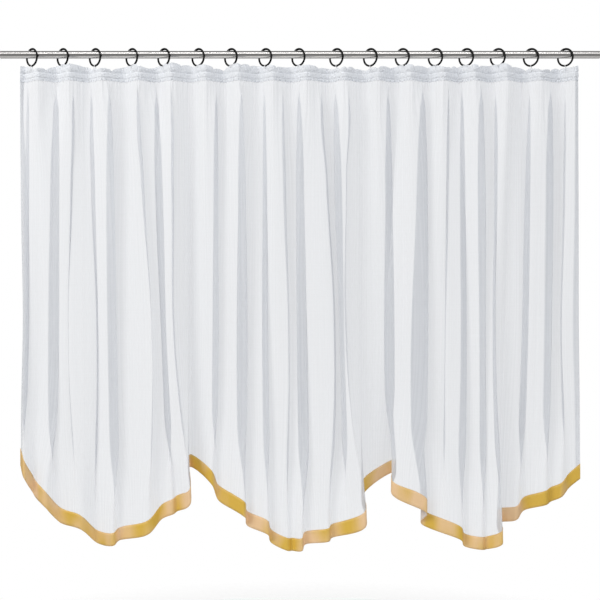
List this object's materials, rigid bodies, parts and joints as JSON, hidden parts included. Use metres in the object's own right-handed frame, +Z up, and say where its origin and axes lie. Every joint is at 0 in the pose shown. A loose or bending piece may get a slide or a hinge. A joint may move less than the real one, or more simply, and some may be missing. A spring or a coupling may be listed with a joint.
{
  "type": "cafe curtain with its rod and rings",
  "caption": "Short sheer voile curtain with a ruffled heading and a scalloped hem edged in gold satin ribbon, hung from black rings on a straight steel rod.",
  "frame": {"origin": "middle of the rod's axis, where the brackets' centre line is", "axes": "+X along the rod, +Z up, -Y out of the curtain's front face into the room"},
  "size_m": [1.5, 0.0799, 1.2555],
  "materials": {
    "rod_steel": "satin",
    "ring_black": "gloss",
    "heading_voile": "matte",
    "sheer_voile": "matte",
    "gold_satin": "satin"
  },
  "bodies": {
    "root": {"rod": "rod_steel", "ring_01": "ring_black", "ring_02": "ring_black", "ring_03": "ring_black", "ring_04": "ring_black", "ring_05": "ring_black", "ring_06": "ring_black", "ring_07": "ring_black", "ring_08": "ring_black", "ring_09": "ring_black", "ring_10": "ring_black", "ring_11": "ring_black", "ring_12": "ring_black", "ring_13": "ring_black", "ring_14": "ring_black", "ring_15": "ring_black", "ring_16": "ring_black", "ring_17": "ring_black", "heading": "heading_voile", "voile_panel": "sheer_voile", "satin_border": "gold_satin"}
  },
  "joints": []
}
